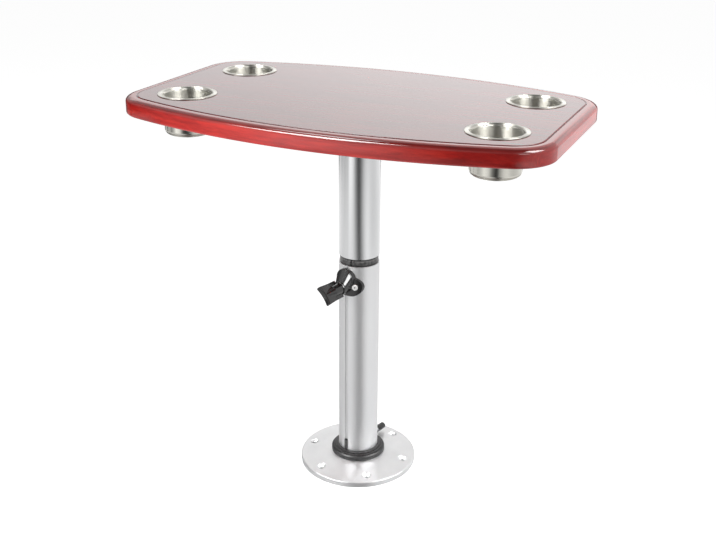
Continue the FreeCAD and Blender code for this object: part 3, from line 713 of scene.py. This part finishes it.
# Cup holders: four deep drawn stainless steel cups, polished, dropped into their holes.
# Each has a slightly domed flange that rests on the lacquer, with a fine hollow under its edge.
# The mouth flares up to the flange, and the bottom has a small step.
cup_flange_radius = 0.0414
cup_flange_thickness = 0.0014
cup_flange_fall = 0.0006
cup_flange_steps = 8
cup_edge_hollow = 0.0003
cup_crest_radius = 0.0366
cup_throat_depth = 0.0080
cup_throat_steps = 10
cup_mouth_radius = 0.0347
cup_body_radius = 0.0338
cup_wall = 0.001
cup_bottom_level = 0.5205
cup_bottom_round = 0.007
cup_foot_radius = 0.016
cup_step_radii = (0.0175, 0.0165)
cup_step_height = 0.0006
flange_colour_gap = (0.0006, 0.0002)
steel_colour = (0.65, 0.635, 0.575, 1)
steel_smear_colour = (0.72, 0.705, 0.645, 1)
# Painted shade: a darker copy of the steel for the flange, to dim its reflection.
flange_painted_shade_colour = (0.58, 0.565, 0.515, 1)
spun_roughness = 0.55
polished_roughness = 0.07
flange_roughness = 0.3

field = top_levels["field"]
flange_top = field + cup_flange_thickness
flange_foot = cup_flange_radius - cup_edge_hollow
cup_inner = cup_body_radius - cup_wall
cup_round_place = (cup_body_radius - cup_bottom_round, cup_bottom_level + cup_bottom_round)
cup_floor = cup_bottom_level + cup_wall
cup_outline = [(0, cup_bottom_level), (cup_foot_radius, cup_bottom_level)]
cup_outline += rounded((cup_round_place[0], cup_bottom_level), (cup_body_radius, cup_round_place[1]),
                       cup_round_place, steps=8)
cup_outline += [(cup_body_radius, field - cup_throat_depth), (cup_mouth_radius, field), (flange_foot, field)]
cup_outline += rounded((flange_foot, field), (flange_foot, field + 2 * cup_edge_hollow),
                       (flange_foot, field + cup_edge_hollow), steps=6)
for step in range(cup_flange_steps + 1):
    share = step / cup_flange_steps
    cup_outline.append((cup_flange_radius + (cup_crest_radius - cup_flange_radius) * share,
                        flange_top - cup_flange_fall * (1 - share) ** 2))
for step in range(1, cup_throat_steps + 1):
    turn = math.pi / 2 * step / cup_throat_steps
    cup_outline.append((cup_crest_radius - (cup_crest_radius - cup_inner) * math.sin(turn),
                        flange_top - cup_throat_depth * (1 - math.cos(turn))))
cup_outline += [(cup_inner, (flange_top + cup_bottom_level) / 2)]
cup_outline += rounded((cup_inner, cup_round_place[1]), (cup_round_place[0], cup_floor),
                       cup_round_place, steps=8)
cup_outline += [(cup_step_radii[0], cup_floor), (cup_step_radii[1], cup_floor + cup_step_height),
                (0, cup_floor + cup_step_height)]

stainless, tree, shader = new_finish("spun_stainless", Metallic=1.0, Roughness=0.5, Anisotropic=1.0,
                                     Anisotropic_Rotation=0.25)
round_the_cup = add_node(tree, "ShaderNodeTangent", direction_type="RADIAL", axis="Z")
tree.links.new(round_the_cup.outputs["Tangent"], shader.inputs["Tangent"])
smear = noise_at(tree, place_of(tree), scale=60, detail=3)
spun = noise_at(tree, stretched(tree, (12, 12, 2200)))
outside = ranged(tree, radius_of(tree), 0, 1, start=cup_body_radius - cup_wall / 2, end=cup_body_radius)
dullness = ranged(tree, outside, spun_roughness, polished_roughness)
on_flange = ranged(tree, level_of(tree), 0, 1, *(field - gap for gap in flange_colour_gap))
colour = mixed(tree, smear, steel_colour, steel_smear_colour)
# Painted shade: the flange takes the darker copy of the steel.
colour = mixed(tree, on_flange, colour, flange_painted_shade_colour)
tree.links.new(colour, shader.inputs["Base Color"])
dullness = add_node(tree, "ShaderNodeMix", {"Factor": on_flange, "A": dullness,
                                            "B": flange_roughness}).outputs[0]
tree.links.new(dullness, shader.inputs["Roughness"])
press_in(tree, shader, spun, depth=0.000004)

for corner, side_x, side_y in (("front_left", -1, -1), ("front_right", 1, -1), ("back_left", -1, 1),
                               ("back_right", 1, 1)):
    cup_mesh = turned_mesh("cup_" + corner, cup_outline, count=128)
    cup = put_in_scene("cup_" + corner, cup_mesh, stainless,
                       (cup_place[0] * side_x, cup_place[1] * side_y, 0))
    soften(cup)
    stands_for(cup, "upper_column", "stainless", "cup_holder_" + corner)

# Studio: a white floor and backdrop. Reflections see a bright room whose side behind the camera is dark.
# Three soft lamps light the object, and a small card lights the clamp housing alone.
floor_reach = 20
floor_glow = 0.82
floor_colour = (0.8, 0.8, 0.8, 1)
white = (1, 1, 1, 1)
room_top_colour = (0.05, 0.05, 0.05, 1)
brightest = 3.0
diffuse_light_levels = (0.44, 0.16)

floor_finish, tree, shader = new_finish("studio_floor", Roughness=0.9, Specular_IOR_Level=0.0)
shader.inputs["Base Color"].default_value = floor_colour
for_camera = add_node(tree, "ShaderNodeLightPath").outputs["Is Camera Ray"]
shown_glow = ranged(tree, for_camera, 0, floor_glow)
glow = add_node(tree, "ShaderNodeEmission", {"Color": white, "Strength": shown_glow})
both = add_node(tree, "ShaderNodeAddShader", {0: shader.outputs[0], 1: glow.outputs[0]})
tree.links.new(both.outputs[0], tree.nodes["Material Output"].inputs["Surface"])
floor_mesh = bpy.data.meshes.new("studio_floor")
floor_corners = [(-floor_reach, -floor_reach, 0), (floor_reach, -floor_reach, 0),
                 (floor_reach, floor_reach, 0), (-floor_reach, floor_reach, 0)]
floor_mesh.from_pydata(floor_corners, [], [(0, 1, 2, 3)])
floor = put_in_scene("studio_floor", floor_mesh, floor_finish)
floor.visible_glossy = False

world = bpy.data.worlds.new("studio")
bpy.context.scene.world = world
world.use_nodes = True
tree = world.node_tree
direction = add_node(tree, "ShaderNodeTexCoord").outputs["Generated"]
split = add_node(tree, "ShaderNodeSeparateXYZ", {"Vector": direction}).outputs
bearing = add_node(tree, "ShaderNodeMath", {0: split["Y"], 1: split["X"]}, operation="ARCTAN2").outputs[0]
bearing = ranged(tree, bearing, 0, 1, start=-math.pi, end=math.pi)


def round_the_room(stops):
    """Brightness by compass bearing in degrees."""
    return add_ramp(tree, bearing, [((angle + 180) / 360, (bright / brightest,) * 3)
                                    for angle, bright in stops])


def rising(start, end):
    """From 0 to 1 between two angles above the horizon."""
    return ranged(tree, split["Z"], 0, 1, math.sin(math.radians(start)), math.sin(math.radians(end)))


near_floor = round_the_room([(-180, 0.60), (-167, 0.62), (-156, 1.05), (-146, 0.76), (-128, 0.72),
                             (-114, 0.80), (-102, 0.86), (-92, 0.84), (-82, 0.62), (-72, 0.32),
                             (-62, 0.04), (-50, 0.02), (-43, 0.30), (-34, 0.62), (-22, 0.88), (-9, 1.02),
                             (5, 1.05), (18, 1.02), (35, 1.0), (55, 0.90), (84, 0.85), (120, 0.75),
                             (150, 0.60), (180, 0.60)])
mid_floor = round_the_room([(-180, 0.92), (-170, 0.88), (-156, 0.76), (-140, 0.84), (-125, 0.98),
                            (-111, 0.86), (-98, 0.66), (-88, 0.38), (-80, 0.18), (-70, 0.02), (-62, 0.16),
                            (-56, 0.50), (-46, 0.78), (-33, 1.02), (-19, 1.06), (-4, 0.78), (12, 0.66),
                            (31, 0.72), (55, 0.84), (100, 1.05), (140, 1.0), (163, 0.98), (180, 0.92)])
far_floor = round_the_room([(-180, 0.02), (-162, 0.02), (-155, 0.20), (-145, 0.34), (-137, 0.55),
                            (-129, 0.85), (-121, 1.35), (-113, 1.25), (-104, 1.10), (-98, 0.75),
                            (-92, 0.35), (-85, 0.06), (-75, 0.05), (-60, 0.10), (-50, 0.22), (-40, 0.50),
                            (-10, 0.7), (30, 0.8), (50, 1.0), (60, 0.9), (64, 0.65), (68, 1.2), (80, 1.25),
                            (86, 0.2), (140, 0.15), (165, 0.1), (180, 0.02)])
walls = round_the_room([(-180, 0.30), (-165, 0.25), (-150, 0.35), (-135, 0.8), (-102, 0.8), (-92, 0.30),
                        (-80, 0.08), (-67, 0.02), (-57, 0.10), (-47, 0.6), (-36, 0.8), (-22, 0.6),
                        (-10, 0.9), (20, 0.9), (32, 0.9), (60, 0.95), (88, 1.82), (100, 1.92),
                        (108, 1.90), (112.5, 1.82), (116, 1.72), (121, 1.58), (128, 1.45), (140, 0.8),
                        (160, 0.4), (180, 0.30)])
high_walls = round_the_room([(-180, 0.4), (-150, 0.9), (-120, 1.05), (-90, 0.5), (-66, 0.2), (-45, 0.8),
                             (0, 1.05), (70, 0.9), (115, 0.84), (150, 0.80), (180, 0.4)])
room = mixed(tree, rising(-23.5, -22), near_floor, mid_floor)
room = mixed(tree, rising(-17.6, -16.6), room, far_floor)
room = mixed(tree, rising(6.5, 9.5), room, walls)
room = mixed(tree, rising(18.5, 22), room, high_walls)
room = mixed(tree, rising(55, 68), room, room_top_colour)


def softbox(room, first_bearing, last_bearing, low, high, bright):
    """A bright panel in the room, between two bearings and two angles above the horizon."""
    across = [(first_bearing - 2, 0), (first_bearing + 2, 1), (last_bearing - 2, 1), (last_bearing + 2, 0)]
    inside = add_ramp(tree, bearing, [((angle + 180) / 360, (share,) * 3) for angle, share in across])
    for start, end in ((low - 1, low + 1), (high + 1, high - 1)):
        inside = mixed(tree, 1.0, inside, rising(start, end), "MULTIPLY")
    return mixed(tree, inside, room, (bright / brightest,) * 3 + (1,))


room = softbox(room, 108, 145, low=19, high=28, bright=1.7)
room = softbox(room, -52, -28, low=12, high=34, bright=3.0)
room = softbox(room, -150, -114, low=42, high=68, bright=18.0)
room = softbox(room, 138, 160, low=57, high=68, bright=9.0)
room = softbox(room, -12, 38, low=42, high=68, bright=13.0)
room = softbox(room, 150, 177, low=-17, high=-14.8, bright=0.9)
room = softbox(room, -177, -156, low=-17, high=-14.8, bright=0.9)


def backdrop(colour, strength):
    """A background that shines in a colour and with a strength, either of which may be an output."""
    return add_node(tree, "ShaderNodeBackground", {"Color": colour, "Strength": strength}).outputs[0]


path = add_node(tree, "ShaderNodeLightPath").outputs
shiny = add_node(tree, "ShaderNodeMath", {0: path["Is Glossy Ray"], 1: path["Is Transmission Ray"]},
                 operation="MAXIMUM").outputs[0]
soft_light = ranged(tree, split["Z"], *diffuse_light_levels, start=0.05, end=0.55)
lit = add_node(tree, "ShaderNodeMixShader", {0: shiny, 1: backdrop(white, soft_light),
                                             2: backdrop(room, brightest)}).outputs[0]
seen = add_node(tree, "ShaderNodeMixShader", {0: path["Is Camera Ray"], 1: lit,
                                              2: backdrop(white, 1.0)}).outputs[0]
tree.links.new(seen, tree.nodes["World Output"].inputs["Surface"])


def soft_lamp(name, place, aim, width, height, power):
    """A rectangular lamp that lights without showing in the reflections."""
    light = bpy.data.lights.new(name, "AREA")
    light.shape = "RECTANGLE"
    light.size = width
    light.size_y = height
    light.energy = power
    lamp = bpy.data.objects.new(name, light)
    lamp.location = place
    lamp.rotation_euler = (Vector(aim) - Vector(place)).to_track_quat("-Z", "Y").to_euler()
    lamp.visible_glossy = False
    lamp.visible_camera = False
    bpy.context.scene.collection.objects.link(lamp)
    return lamp


soft_lamp("front_lamp", (-0.14, -0.58, 0.45), aim=(-0.12, 0, 0.54), width=0.25, height=0.25, power=2.6)
soft_lamp("left_lamp", (-2.4, -0.6, 1.0), aim=(0, 0, 0.4), width=1.6, height=1.2, power=10)
soft_lamp("right_lamp", (1.9, 0.25, 0.7), aim=(0.2, 0, 0.5), width=0.9, height=0.9, power=24)
clamp_card = soft_lamp("clamp_card", (0.097, -0.211, 0.372), aim=(0.097, -0.211, 0),
                       width=0.18, height=0.26, power=2.2)
clamp_card.visible_glossy = True
clamp_card.visible_diffuse = False
clamp_parts = bpy.data.collections.new("clamp_parts")
clamp_parts.objects.link(nodes["clamp_housing"])
clamp_card.light_linking.receiver_collection = clamp_parts
bpy.context.scene.view_settings.view_transform = "Standard"
